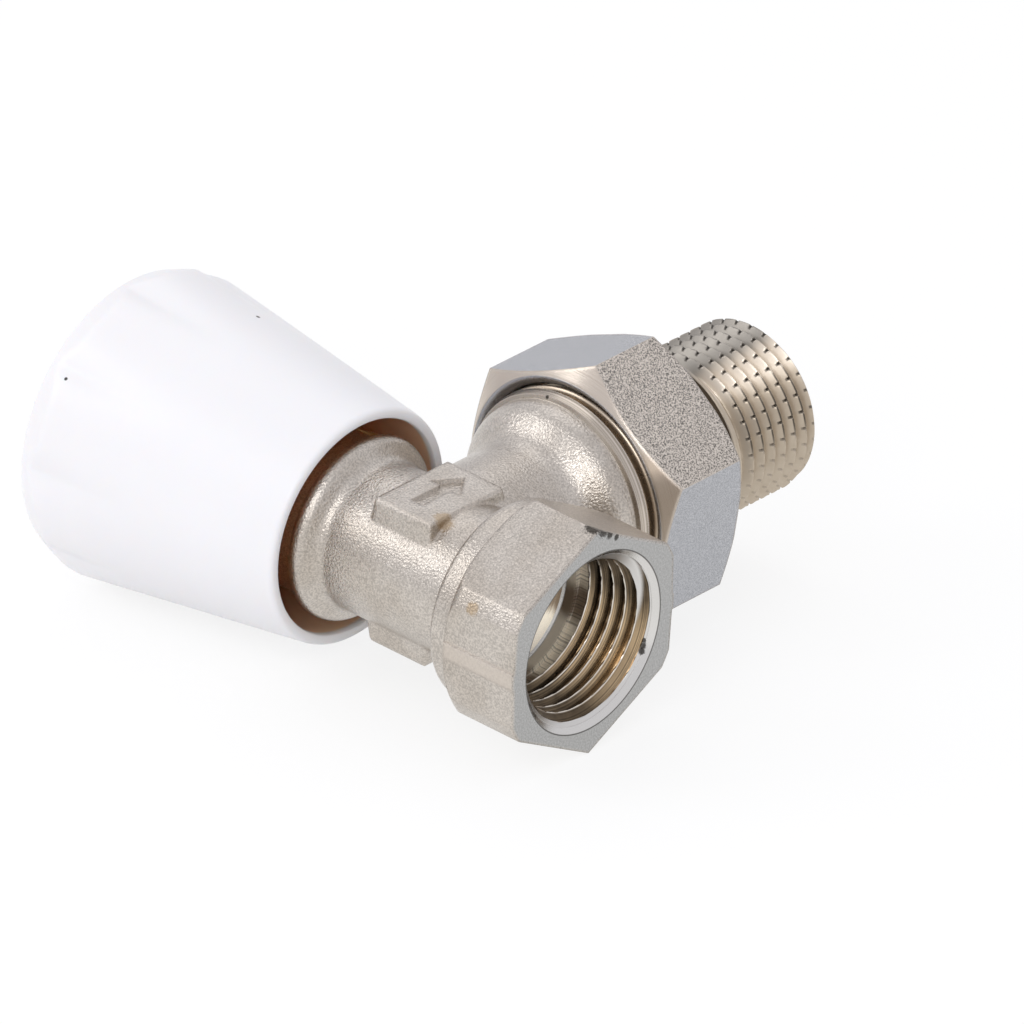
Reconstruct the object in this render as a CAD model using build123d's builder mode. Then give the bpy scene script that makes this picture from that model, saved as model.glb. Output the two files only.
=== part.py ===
from build123d import *
from math import cos, radians, sin, tan
import os

# Driving dimensions, in millimetres and degrees.
# The inlet end face is the plane x = 0, the valve axis is X and the union runs along +Y.

# Forged body
inlet_reach = 24.5
stem_reach = 18.0
neck_radius = 9.0
rim_radius = 11.2
rim_length = 7.4
rim_width = 1.6
rim_slope = 1.4
rim_step = 1.3
rim_round = 1.2
rim_back_round = 0.6
rim_fillet = 1.6
hub_across_flats = 26.0
hub_across_corners = 28.8
hub_length = 11.0
hub_corner_round = 0.7
hub_back_round = 2.2
hub_draft = 0.25
seam_width = 2.0
seam_height = 0.15
collar_radius = 12.25
collar_width = 3.0
collar_slope = 0.8
collar_round = 1.1
collar_fillet = 0.8

# Forged pads on the neck and the flow arrow
pad_length = 12.3
pad_width = 8.7
pad_height = 9.25
pad_behind_axis = 5.9
pad_from_axis = 0.25
pad_round = 0.4
pad_draft = 9.0
arrow_length = 8.0
arrow_shaft_width = 1.7
arrow_head_length = 3.2
arrow_head_width = 4.6
arrow_depth = 0.5
arrow_from_pad_end = 1.6

# Inlet thread, seat and chamber
inlet_thread_radius = 10.4775
inlet_thread_length = 9.6
inlet_mouth_radius = 11.15
inlet_relief_radius = 9.7
inlet_relief_length = 1.2
inlet_bore_radius = 9.0
seat_bore_radius = 5.0
seat_lip_radius = 6.0
seat_lip_height = 0.8
seat_offset = 8.0
seat_wall = 2.2
seat_cone_angle = 27.0
chamber_radius = 7.0

# Branch towards the union
branch_root_radius = 9.1
branch_neck_reach = 14.0
branch_bulge_reach = 20.2
branch_shoulder_radius = 12.44
branch_shoulder_reach = 20.5
branch_bore_radius = 6.4
union_ring_radius = 13.0
union_ring_length = 1.3
union_ring_step = 0.2
union_thread_radius = 13.22
union_thread_depth = 1.16
union_thread_length = 8.4
union_thread_chamfer = 0.8
union_socket_radius = 9.05
union_socket_depth = 6.6

# Tailpiece
tail_reach = 54.0
tail_thread_radius = 10.4775
tail_thread_length = 13.6
tail_thread_chamfer = 0.9
tail_thread_pitch = 1.814
tail_thread_depth = 1.162
tail_collar_length = 1.2
tail_neck_radius = 9.7
tail_bore_radius = 6.4
tail_flange_radius = 11.7
tail_flange_length = 1.9
tail_spigot_length = 6.0
tail_ring_section = 1.5
tail_ring_setback = 2.0

# Union nut
nut_across_flats = 30.0
nut_front_reach = 22.4
nut_wall = 2.8
nut_corner_angle = 23.0
nut_mouth_radius = 14.2
nut_front_land_radius = 14.6
nut_rear_land_radius = 15.2
nut_chamfer_angle = 30.0

# Bonnet and gland
bonnet_thread_radius = 8.5
bonnet_spigot_length = 7.4
bonnet_across_flats = 19.6
bonnet_hex_turn = 30.0
bonnet_hex_length = 4.0
bonnet_neck_radius = 7.8
bonnet_neck_length = 6.0
bonnet_ring_section = 1.0
gland_recess_radius = 6.0
gland_recess_depth = 7.0
gland_nut_across_flats = 13.0
gland_nut_head = 3.0
gland_washer_thickness = 0.8
gland_ring_section = 1.7

# Spindle and plug
spindle_thread_radius = 4.5
spindle_journal_radius = 3.5
spindle_square = 4.9
spindle_lift = 3.75
clip_radius = 5.8
clip_thickness = 0.8
clip_spare = 0.6
plug_radius = 6.3
plug_length = 7.0
plug_socket_radius = 3.6
plug_socket_depth = 4.5
plug_lock_section = 0.8
seal_thickness = 2.0
seal_radius = 6.2
seal_screw_radius = 1.5
seal_screw_head_radius = 2.8
seal_screw_head = 1.2
seal_screw_length = 2.0

# Handwheel
handwheel_mouth_reach = 11.5
handwheel_length = 35.9
handwheel_mouth_radius = 14.4
handwheel_taper = 7.8
handwheel_mouth_wall = 1.35
handwheel_mouth_round = 0.5
handwheel_end_wall = 3.0
handwheel_side_wall = 2.6
handwheel_edge_length = 3.0
handwheel_edge_drop = 1.15
flute_count = 9
flute_first_angle = 17.0
flute_radius = 8.0
flute_depth = 0.95
flute_length = 19.0
flute_overrun = 4.0
hub_bore_wall = 3.9
handwheel_recess_radius = 5.8
handwheel_recess_depth = 5.2
wheel_screw_radius = 1.5
wheel_screw_length = 8.0
wheel_screw_head_radius = 3.0
wheel_screw_head = 2.0
wheel_washer_radius = 4.6
wheel_washer_thickness = 0.8
cap_thickness = 1.6
cap_skirt_wall = 0.9

# Clearances
running_clearance = 0.05
face_clearance = 0.05
seat_clearance = 0.02
hub_clearance = 0.6
nut_hole_clearance = 0.3
screw_tip_clearance = 0.6

os.makedirs("parts", exist_ok=True)

centre_x = -inlet_reach
body_end_x = centre_x - stem_reach
union_axis = Axis((centre_x, 0, 0), (0, 1, 0))


def turn(outline, axis, mode=Mode.ADD):
    """Turn a closed half outline, given as XY points, about the axis."""
    with BuildSketch(Plane.XY) as profile:
        with BuildLine():
            Polyline(*outline, close=True)
        make_face()
    revolve(profile.sketch, axis=axis, mode=mode)


def round_ring(radius, section, centre, direction):
    """A ring of round section about the direction through the centre."""
    ring_axis = Axis(centre, direction)
    section_plane = Plane(origin=centre, x_dir=(0, 0, 1), z_dir=ring_axis.direction.cross(Vector(0, 0, 1)))
    with BuildSketch(section_plane) as profile:
        with Locations((radius, 0)):
            Circle(section / 2)
    revolve(profile.sketch, axis=ring_axis)


def corner_near(outline, x, y):
    """The outline's corner that lies closest to the point."""
    return outline.vertices().sort_by_distance((x, y))[0]


# Valve body: one brass forging, machined at its three ends
hub_back_x = -hub_length
collar_back_x = hub_back_x - collar_width
hub_flat = hub_across_flats / 2
hub_corner = hub_across_corners / 2
rim_front_x = body_end_x + rim_length
rim_back_x = rim_front_x - rim_width
stem_end_radius = rim_radius - rim_step
thread_floor_x = -inlet_thread_length
relief_floor_x = thread_floor_x - inlet_relief_length
seat_x = centre_x + seat_offset
seat_wall_x = seat_x + seat_wall
seat_cone_depth = (inlet_bore_radius - seat_bore_radius) * tan(radians(seat_cone_angle))
bonnet_nose_x = body_end_x + bonnet_spigot_length
union_ring_end = branch_shoulder_reach + union_ring_length
union_end = union_ring_end + union_thread_length
union_root_radius = union_thread_radius - union_thread_depth

with BuildPart() as valve_body:
    # Hexagonal hub with the drafted side flats and the trimmed forging seam
    with BuildSketch(Plane.YZ) as hub_outline:
        half_flat = hub_flat * tan(radians(30))
        with BuildLine():
            Polyline(
                (hub_flat + hub_draft, 0),
                (hub_flat, half_flat),
                (0, hub_corner),
                (-hub_flat, half_flat),
                (-hub_flat - hub_draft, 0),
                (-hub_flat, -half_flat),
                (0, -hub_corner),
                (hub_flat, -half_flat),
                close=True,
            )
        make_face()
        corners = [v for v in hub_outline.vertices() if abs(v.Z) > seam_width]
        fillet(corners, hub_corner_round)
        Rectangle(2 * (hub_flat + hub_draft + seam_height), seam_width)
    extrude(amount=-hub_length)
    # The hub's back corners are rounded by the collar's turning cut
    with BuildSketch(Plane.XY) as hub_envelope:
        with BuildLine():
            Polyline(
                (0, 0),
                (0, hub_corner),
                (hub_back_x, hub_corner),
                (hub_back_x, 0),
                close=True,
            )
        make_face()
        fillet(corner_near(hub_envelope, hub_back_x, hub_corner), hub_back_round)
    revolve(axis=Axis.X, mode=Mode.INTERSECT)
    # Collar, neck, rounded rim and the plain stem end behind it
    with BuildSketch(Plane.XY) as neck_outline:
        with BuildLine():
            Polyline(
                (body_end_x, 0),
                (body_end_x, stem_end_radius),
                (rim_back_x, stem_end_radius),
                (rim_back_x, rim_radius),
                (rim_front_x, rim_radius),
                (rim_front_x + rim_slope, neck_radius),
                (collar_back_x - collar_slope, neck_radius),
                (collar_back_x, collar_radius),
                (hub_back_x + hub_back_round, collar_radius),
                (hub_back_x + hub_back_round, 0),
                close=True,
            )
        make_face()
        fillet(corner_near(neck_outline, rim_back_x, rim_radius), rim_back_round)
        fillet(corner_near(neck_outline, rim_front_x, rim_radius), rim_round)
        fillet(corner_near(neck_outline, rim_front_x + rim_slope, neck_radius), rim_fillet)
        fillet(corner_near(neck_outline, collar_back_x - collar_slope, neck_radius), collar_fillet)
        fillet(corner_near(neck_outline, collar_back_x, collar_radius), collar_round)
    revolve(axis=Axis.X)
    # Bulbous branch up to the machined union ring and thread
    with BuildSketch(Plane.XY):
        with BuildLine():
            shoulder = (centre_x + branch_shoulder_radius, branch_shoulder_reach)
            bulge = (centre_x + branch_shoulder_radius, branch_bulge_reach)
            neck_end = (centre_x + branch_root_radius, branch_neck_reach)
            Line((centre_x + branch_root_radius, 0), neck_end)
            Spline(neck_end, bulge, tangents=((0, 1), (0, 1)))
            Polyline(
                bulge,
                shoulder,
                (centre_x + union_ring_radius, branch_shoulder_reach + union_ring_step),
                (centre_x + union_thread_radius, union_ring_end),
                (centre_x + union_root_radius, union_ring_end),
                (centre_x + union_root_radius, union_end - union_thread_chamfer),
                (centre_x + union_root_radius - union_thread_chamfer, union_end),
                (centre_x, union_end),
                (centre_x, 0),
                (centre_x + branch_root_radius, 0),
            )
        make_face()
    revolve(axis=union_axis)
    # Drafted pads above and below the neck
    pad_centre_x = centre_x + pad_from_axis
    pad_centre_y = pad_length / 2 - pad_behind_axis
    pad_flat_top = pad_height - pad_round
    pad_spread = pad_flat_top * tan(radians(pad_draft))
    for side in (1, -1):
        for height, growth in ((0, pad_spread), (pad_flat_top, 0), (pad_height, -pad_round / 2)):
            with BuildSketch(Plane.XY.offset(side * height)):
                with Locations((pad_centre_x, pad_centre_y)):
                    RectangleRounded(pad_width + 2 * growth, pad_length + 2 * growth, pad_round + growth)
        loft(ruled=True)
    # Recessed flow arrow on the upper pad, pointing to the union
    arrow_tip = pad_length - pad_behind_axis - arrow_from_pad_end
    arrow_neck = arrow_tip - arrow_head_length
    with BuildSketch(Plane.XY.offset(pad_height)):
        with BuildLine():
            Polyline(
                (centre_x, arrow_tip),
                (centre_x - arrow_head_width / 2, arrow_neck),
                (centre_x - arrow_shaft_width / 2, arrow_neck),
                (centre_x - arrow_shaft_width / 2, arrow_tip - arrow_length),
                (centre_x + arrow_shaft_width / 2, arrow_tip - arrow_length),
                (centre_x + arrow_shaft_width / 2, arrow_neck),
                (centre_x + arrow_head_width / 2, arrow_neck),
                close=True,
            )
        make_face()
    extrude(amount=-arrow_depth, mode=Mode.SUBTRACT)
    # Inlet bore: chamfered mouth, thread, relief ring, coned smooth bore and the seat's through hole
    mouth_depth = inlet_mouth_radius - inlet_thread_radius
    turn(
        [
            (0, 0),
            (0, inlet_mouth_radius),
            (-mouth_depth, inlet_thread_radius),
            (thread_floor_x, inlet_thread_radius),
            (thread_floor_x, inlet_relief_radius),
            (relief_floor_x, inlet_relief_radius),
            (relief_floor_x, inlet_bore_radius),
            (seat_wall_x + seat_cone_depth, inlet_bore_radius),
            (seat_wall_x, seat_bore_radius),
            (centre_x, seat_bore_radius),
            (centre_x, 0),
        ],
        Axis.X,
        Mode.SUBTRACT,
    )
    # Chamber from the stem end, with the raised seat lip at its floor
    turn(
        [
            (body_end_x, 0),
            (body_end_x, bonnet_thread_radius),
            (bonnet_nose_x, bonnet_thread_radius),
            (bonnet_nose_x, chamber_radius),
            (seat_x + seat_lip_height, chamber_radius),
            (seat_x + seat_lip_height, seat_lip_radius),
            (seat_x, seat_lip_radius),
            (seat_x, 0),
        ],
        Axis.X,
        Mode.SUBTRACT,
    )
    # Branch waterway and the union socket
    turn(
        [
            (centre_x, 0),
            (centre_x + branch_bore_radius, 0),
            (centre_x + branch_bore_radius, union_end - union_socket_depth),
            (centre_x + union_socket_radius, union_end - union_socket_depth),
            (centre_x + union_socket_radius, union_end),
            (centre_x, union_end),
        ],
        union_axis,
        Mode.SUBTRACT,
    )
    # Groove for the bonnet's sealing ring
    turn(
        [
            (body_end_x, bonnet_thread_radius),
            (body_end_x, bonnet_thread_radius + bonnet_ring_section),
            (body_end_x + bonnet_ring_section, bonnet_thread_radius),
        ],
        Axis.X,
        Mode.SUBTRACT,
    )
valve_body.part.label = "valve_body"
export_step(valve_body.part, "parts/valve_body.step")

# Tailpiece: turned brass, its flange held by the union nut and its spigot in the body's socket
spigot_radius = union_socket_radius - running_clearance
flange_front = union_end + face_clearance
flange_back = flange_front + tail_flange_length
thread_start = tail_reach - tail_thread_length
collar_start = thread_start - tail_collar_length
spigot_end = flange_front - tail_spigot_length
ring_centre_y = spigot_end + tail_ring_setback
ring_groove_radius = spigot_radius - tail_ring_section
ring_groove_half = tail_ring_section / 2 + face_clearance

# The pipe thread as plain rings: two flanks and a crest for each pitch
thread_crest = centre_x + tail_thread_radius
thread_root = thread_crest - tail_thread_depth
thread_turns = int((tail_thread_length - tail_thread_chamfer) / tail_thread_pitch)
thread_outline = []
for k in range(thread_turns):
    ring_start = thread_start + tail_thread_pitch * k
    thread_outline.append((thread_crest, ring_start))
    thread_outline.append((thread_root, ring_start + tail_thread_pitch * 5 / 12))
    thread_outline.append((thread_crest, ring_start + tail_thread_pitch * 5 / 6))

with BuildPart() as tailpiece:
    turn(
        [
            (centre_x + tail_bore_radius, spigot_end),
            (centre_x + spigot_radius, spigot_end),
            (centre_x + spigot_radius, ring_centre_y - ring_groove_half),
            (centre_x + ring_groove_radius, ring_centre_y - ring_groove_half),
            (centre_x + ring_groove_radius, ring_centre_y + ring_groove_half),
            (centre_x + spigot_radius, ring_centre_y + ring_groove_half),
            (centre_x + spigot_radius, flange_front),
            (centre_x + tail_flange_radius, flange_front),
            (centre_x + tail_flange_radius, flange_back),
            (centre_x + tail_neck_radius, flange_back),
            (centre_x + tail_neck_radius, collar_start),
            (thread_crest, collar_start),
            *thread_outline,
            (thread_crest, tail_reach - tail_thread_chamfer),
            (thread_crest - tail_thread_chamfer, tail_reach),
            (centre_x + tail_bore_radius, tail_reach),
        ],
        union_axis,
    )
tailpiece.part.label = "tailpiece"
export_step(tailpiece.part, "parts/tailpiece.step")

# Rubber ring that seals the tailpiece's spigot in the socket
with BuildPart() as tailpiece_o_ring:
    tail_ring_radius = (spigot_radius + ring_groove_radius) / 2
    tail_ring_cord = tail_ring_section - 2 * seat_clearance
    round_ring(tail_ring_radius, tail_ring_cord, (centre_x, ring_centre_y, 0), (0, 1, 0))
tailpiece_o_ring.part.label = "tailpiece_o_ring"
export_step(tailpiece_o_ring.part, "parts/tailpiece_o_ring.step")

# Union nut: hexagon with turned chamfers, threaded over the body and shouldered on the flange
nut_shoulder = flange_back + face_clearance
nut_rear = nut_shoulder + nut_wall
nut_flat = nut_across_flats / 2
nut_corner = nut_flat / cos(radians(30))
nut_thread_radius = union_thread_radius + running_clearance
nut_hole_radius = tail_thread_radius + nut_hole_clearance
chamfer_rate = tan(radians(nut_chamfer_angle))

with BuildPart() as union_nut:
    with BuildSketch(Plane(origin=(centre_x, nut_front_reach, 0), x_dir=(1, 0, 0), z_dir=(0, 1, 0))):
        RegularPolygon(nut_flat, 6, major_radius=False, rotation=-nut_corner_angle)
    extrude(amount=nut_rear - nut_front_reach)
    turn(
        [
            (centre_x, nut_front_reach),
            (centre_x + nut_front_land_radius, nut_front_reach),
            (centre_x + nut_corner, nut_front_reach + (nut_corner - nut_front_land_radius) * chamfer_rate),
            (centre_x + nut_corner, nut_rear - (nut_corner - nut_rear_land_radius) * chamfer_rate),
            (centre_x + nut_rear_land_radius, nut_rear),
            (centre_x, nut_rear),
        ],
        union_axis,
        Mode.INTERSECT,
    )
    turn(
        [
            (centre_x, nut_front_reach),
            (centre_x + nut_mouth_radius, nut_front_reach),
            (centre_x + nut_thread_radius, nut_front_reach + nut_mouth_radius - nut_thread_radius),
            (centre_x + nut_thread_radius, nut_shoulder),
            (centre_x + nut_hole_radius, nut_shoulder),
            (centre_x + nut_hole_radius, nut_rear),
            (centre_x, nut_rear),
        ],
        union_axis,
        Mode.SUBTRACT,
    )
union_nut.part.label = "union_nut"
export_step(union_nut.part, "parts/union_nut.step")

# Bonnet: turned brass screwed into the body's stem end, carrying the spindle and the gland
bonnet_hex_front_x = body_end_x
bonnet_hex_back_x = body_end_x - bonnet_hex_length
bonnet_end_x = bonnet_hex_back_x - bonnet_neck_length
gland_floor_x = bonnet_end_x + gland_recess_depth
bonnet_spigot_radius = bonnet_thread_radius - running_clearance
spindle_bore_radius = spindle_thread_radius + running_clearance

with BuildPart() as bonnet:
    with BuildSketch(Plane.YZ.offset(bonnet_hex_front_x)):
        RegularPolygon(bonnet_across_flats / 2, 6, major_radius=False, rotation=bonnet_hex_turn)
    extrude(amount=-bonnet_hex_length)
    turn(
        [
            (bonnet_nose_x - face_clearance, 0),
            (bonnet_nose_x - face_clearance, bonnet_spigot_radius),
            (body_end_x, bonnet_spigot_radius),
            (body_end_x, 0),
        ],
        Axis.X,
    )
    turn(
        [
            (bonnet_hex_back_x, 0),
            (bonnet_hex_back_x, bonnet_neck_radius),
            (bonnet_end_x, bonnet_neck_radius),
            (bonnet_end_x, 0),
        ],
        Axis.X,
    )
    turn(
        [
            (bonnet_nose_x, 0),
            (bonnet_nose_x, spindle_bore_radius),
            (gland_floor_x, spindle_bore_radius),
            (gland_floor_x, gland_recess_radius),
            (bonnet_end_x, gland_recess_radius),
            (bonnet_end_x, 0),
        ],
        Axis.X,
        Mode.SUBTRACT,
    )
bonnet.part.label = "bonnet"
export_step(bonnet.part, "parts/bonnet.step")

# Rubber ring squeezed into the body's chamfer under the bonnet's hexagon
with BuildPart() as bonnet_o_ring:
    turn(
        [
            (body_end_x + seat_clearance, bonnet_thread_radius + seat_clearance),
            (body_end_x + seat_clearance, bonnet_thread_radius + bonnet_ring_section - 3 * seat_clearance),
            (body_end_x + bonnet_ring_section - 3 * seat_clearance, bonnet_thread_radius + seat_clearance),
        ],
        Axis.X,
    )
bonnet_o_ring.part.label = "bonnet_o_ring"
export_step(bonnet_o_ring.part, "parts/bonnet_o_ring.step")

# Two rubber rings with a brass washer between them, stacked on the gland's floor
journal_clear_radius = spindle_journal_radius + running_clearance
gland_outer_radius = gland_recess_radius - running_clearance
gland_ring_radius = journal_clear_radius + gland_ring_section / 2
lower_ring_x = gland_floor_x - seat_clearance - gland_ring_section / 2
washer_front_x = lower_ring_x - gland_ring_section / 2 - seat_clearance
washer_back_x = washer_front_x - gland_washer_thickness
upper_ring_x = washer_back_x - seat_clearance - gland_ring_section / 2
gland_nut_front_x = upper_ring_x - gland_ring_section / 2 - seat_clearance
gland_nut_end_x = bonnet_end_x - gland_nut_head

with BuildPart() as spindle_o_ring_lower:
    round_ring(gland_ring_radius, gland_ring_section, (lower_ring_x, 0, 0), (1, 0, 0))
spindle_o_ring_lower.part.label = "spindle_o_ring_lower"
export_step(spindle_o_ring_lower.part, "parts/spindle_o_ring_lower.step")

with BuildPart() as gland_washer:
    turn(
        [
            (washer_front_x, journal_clear_radius),
            (washer_front_x, gland_outer_radius),
            (washer_back_x, gland_outer_radius),
            (washer_back_x, journal_clear_radius),
        ],
        Axis.X,
    )
gland_washer.part.label = "gland_washer"
export_step(gland_washer.part, "parts/gland_washer.step")

with BuildPart() as spindle_o_ring_upper:
    round_ring(gland_ring_radius, gland_ring_section, (upper_ring_x, 0, 0), (1, 0, 0))
spindle_o_ring_upper.part.label = "spindle_o_ring_upper"
export_step(spindle_o_ring_upper.part, "parts/spindle_o_ring_upper.step")

# Gland nut that closes the stack
with BuildPart() as gland_nut:
    with BuildSketch(Plane.YZ.offset(bonnet_end_x)):
        RegularPolygon(gland_nut_across_flats / 2, 6, major_radius=False)
    extrude(amount=-gland_nut_head)
    turn(
        [
            (gland_nut_front_x, 0),
            (gland_nut_front_x, gland_outer_radius),
            (bonnet_end_x, gland_outer_radius),
            (bonnet_end_x, 0),
        ],
        Axis.X,
    )
    turn(
        [
            (gland_nut_front_x, 0),
            (gland_nut_front_x, journal_clear_radius),
            (gland_nut_end_x, journal_clear_radius),
            (gland_nut_end_x, 0),
        ],
        Axis.X,
        Mode.SUBTRACT,
    )
gland_nut.part.label = "gland_nut"
export_step(gland_nut.part, "parts/gland_nut.step")

# Plug: brass holder that slides on the axis without turning, with a socket for the spindle's tip
seal_back_x = seat_x - seal_thickness
plug_front_x = seal_back_x
plug_back_x = plug_front_x - plug_length
socket_floor_x = plug_back_x + plug_socket_depth
lock_x = (plug_back_x + socket_floor_x) / 2
lock_half = plug_lock_section / 2 + face_clearance
lock_outer_radius = plug_socket_radius + plug_lock_section
tip_radius = plug_socket_radius - running_clearance
lock_inner_radius = tip_radius - plug_lock_section

with BuildPart() as valve_plug:
    turn(
        [
            (plug_front_x, seal_screw_radius),
            (plug_front_x, plug_radius),
            (plug_back_x, plug_radius),
            (plug_back_x, plug_socket_radius),
            (lock_x - lock_half, plug_socket_radius),
            (lock_x - lock_half, lock_outer_radius),
            (lock_x + lock_half, lock_outer_radius),
            (lock_x + lock_half, plug_socket_radius),
            (socket_floor_x, plug_socket_radius),
            (socket_floor_x, 0),
            (plug_front_x - seal_screw_length, 0),
            (plug_front_x - seal_screw_length, seal_screw_radius),
        ],
        Axis.X,
    )
valve_plug.part.label = "valve_plug"
export_step(valve_plug.part, "parts/valve_plug.step")

# Rubber disc that closes on the seat lip
with BuildPart() as plug_seal:
    turn(
        [
            (seat_x, seal_screw_radius),
            (seat_x, seal_radius),
            (seal_back_x, seal_radius),
            (seal_back_x, seal_screw_radius),
        ],
        Axis.X,
    )
plug_seal.part.label = "plug_seal"
export_step(plug_seal.part, "parts/plug_seal.step")

# Screw that holds the disc to the plug
with BuildPart() as plug_screw:
    turn(
        [
            (plug_front_x - seal_screw_length + face_clearance, 0),
            (plug_front_x - seal_screw_length + face_clearance, seal_screw_radius - seat_clearance),
            (seat_x, seal_screw_radius - seat_clearance),
            (seat_x, seal_screw_head_radius),
            (seat_x + seal_screw_head, seal_screw_head_radius),
            (seat_x + seal_screw_head, 0),
        ],
        Axis.X,
    )
plug_screw.part.label = "plug_screw"
export_step(plug_screw.part, "parts/plug_screw.step")

# Wire ring that keeps the spindle's tip in the plug's socket
with BuildPart() as plug_retaining_ring:
    turn(
        [
            (lock_x - plug_lock_section / 2, lock_inner_radius + face_clearance),
            (lock_x - plug_lock_section / 2, lock_outer_radius - seat_clearance),
            (lock_x + plug_lock_section / 2, lock_outer_radius - seat_clearance),
            (lock_x + plug_lock_section / 2, lock_inner_radius + face_clearance),
        ],
        Axis.X,
    )
plug_retaining_ring.part.label = "plug_retaining_ring"
export_step(plug_retaining_ring.part, "parts/plug_retaining_ring.step")

# Spindle: turned brass with the tip in the plug, the thread in the bonnet and a square for the handwheel
handwheel_mouth_x = centre_x - handwheel_mouth_reach
handwheel_end_x = handwheel_mouth_x - handwheel_length
recess_floor_x = handwheel_end_x + handwheel_recess_depth
square_end_x = recess_floor_x + face_clearance
square_start_x = gland_nut_end_x - hub_clearance
tip_x = socket_floor_x - face_clearance
clip_x = bonnet_nose_x + spindle_lift + clip_spare
screw_tip_x = recess_floor_x + wheel_screw_length
clip_groove_radius = spindle_thread_radius - clip_thickness
wheel_screw_hole = wheel_screw_radius + seat_clearance

with BuildPart() as spindle:
    turn(
        [
            (tip_x, 0),
            (tip_x, tip_radius),
            (lock_x + lock_half, tip_radius),
            (lock_x + lock_half, lock_inner_radius),
            (lock_x - lock_half, lock_inner_radius),
            (lock_x - lock_half, tip_radius),
            (plug_back_x - face_clearance, tip_radius),
            (plug_back_x - face_clearance, spindle_thread_radius),
            (clip_x + clip_thickness, spindle_thread_radius),
            (clip_x + clip_thickness, clip_groove_radius),
            (clip_x, clip_groove_radius),
            (clip_x, spindle_thread_radius),
            (gland_floor_x + spindle_lift, spindle_thread_radius),
            (gland_floor_x + spindle_lift, spindle_journal_radius),
            (square_start_x, spindle_journal_radius),
            (square_start_x, 0),
        ],
        Axis.X,
    )
    with BuildSketch(Plane.YZ.offset(square_start_x)):
        Rectangle(spindle_square, spindle_square)
    extrude(amount=square_end_x - square_start_x)
    turn(
        [
            (square_end_x, 0),
            (square_end_x, wheel_screw_hole),
            (screw_tip_x + screw_tip_clearance, wheel_screw_hole),
            (screw_tip_x + screw_tip_clearance, 0),
        ],
        Axis.X,
        Mode.SUBTRACT,
    )
spindle.part.label = "spindle"
export_step(spindle.part, "parts/spindle.step")

# Spring clip that stops the spindle from unscrewing out of the bonnet
with BuildPart() as spindle_clip:
    turn(
        [
            (clip_x + seat_clearance, clip_groove_radius + seat_clearance),
            (clip_x + seat_clearance, clip_radius),
            (clip_x + clip_thickness - seat_clearance, clip_radius),
            (clip_x + clip_thickness - seat_clearance, clip_groove_radius + seat_clearance),
        ],
        Axis.X,
    )
spindle_clip.part.label = "spindle_clip"
export_step(spindle_clip.part, "parts/spindle_clip.step")

# Handwheel: moulded tapered shell with shallow flutes that fade towards its mouth
taper_rate = tan(radians(handwheel_taper))
edge_x = handwheel_end_x + handwheel_edge_length
edge_radius = handwheel_mouth_radius + (handwheel_length - handwheel_edge_length) * taper_rate
end_wall_x = handwheel_end_x + handwheel_end_wall
hub_radius = spindle_square / 2 + hub_bore_wall + hub_clearance

with BuildPart() as handwheel:
    with BuildSketch(Plane.XY) as shell_outline:
        with BuildLine():
            Polyline(
                (handwheel_end_x, 0),
                (handwheel_end_x, edge_radius - handwheel_edge_drop),
                (edge_x, edge_radius),
                (handwheel_mouth_x, handwheel_mouth_radius),
                (handwheel_mouth_x, handwheel_mouth_radius - handwheel_mouth_wall),
                (end_wall_x, edge_radius - handwheel_side_wall),
                (end_wall_x, 0),
                close=True,
            )
        make_face()
        fillet(shell_outline.vertices().group_by(Axis.X)[-1], handwheel_mouth_round)
    revolve(axis=Axis.X)
    for k in range(flute_count):
        angle = radians(flute_first_angle + 360 / flute_count * k)
        flute_end_x = handwheel_end_x + flute_length
        flute_end_radius = handwheel_mouth_radius + (handwheel_mouth_x - flute_end_x) * taper_rate
        start_height = edge_radius - flute_depth + flute_radius
        end_height = flute_end_radius + flute_radius
        start = Vector(handwheel_end_x, start_height * cos(angle), start_height * sin(angle))
        finish = Vector(flute_end_x, end_height * cos(angle), end_height * sin(angle))
        run = finish - start
        with BuildSketch(Plane(origin=start - run.normalized() * flute_overrun, z_dir=run)):
            Circle(flute_radius)
        extrude(amount=run.length + 2 * flute_overrun, mode=Mode.SUBTRACT)
    # Hub around the spindle's square, and the recess for its screw
    turn(
        [
            (square_start_x, 0),
            (square_start_x, hub_radius),
            (end_wall_x, hub_radius),
            (end_wall_x, 0),
        ],
        Axis.X,
    )
    with BuildSketch(Plane.YZ.offset(square_start_x)):
        Rectangle(spindle_square + 2 * running_clearance, spindle_square + 2 * running_clearance)
    extrude(amount=handwheel_end_x - square_start_x, mode=Mode.SUBTRACT)
    turn(
        [
            (recess_floor_x, 0),
            (recess_floor_x, handwheel_recess_radius),
            (handwheel_end_x, handwheel_recess_radius),
            (handwheel_end_x, 0),
        ],
        Axis.X,
        Mode.SUBTRACT,
    )
handwheel.part.label = "handwheel"
export_step(handwheel.part, "parts/handwheel.step")

# Washer and screw that hold the handwheel on the square
washer_end_x = recess_floor_x - wheel_washer_thickness
with BuildPart() as handwheel_washer:
    turn(
        [
            (recess_floor_x, wheel_screw_hole),
            (recess_floor_x, wheel_washer_radius),
            (washer_end_x, wheel_washer_radius),
            (washer_end_x, wheel_screw_hole),
        ],
        Axis.X,
    )
handwheel_washer.part.label = "handwheel_washer"
export_step(handwheel_washer.part, "parts/handwheel_washer.step")

with BuildPart() as handwheel_screw:
    turn(
        [
            (screw_tip_x, 0),
            (screw_tip_x, wheel_screw_radius),
            (washer_end_x, wheel_screw_radius),
            (washer_end_x, wheel_screw_head_radius),
            (washer_end_x - wheel_screw_head, wheel_screw_head_radius),
            (washer_end_x - wheel_screw_head, 0),
        ],
        Axis.X,
    )
handwheel_screw.part.label = "handwheel_screw"
export_step(handwheel_screw.part, "parts/handwheel_screw.step")

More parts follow.
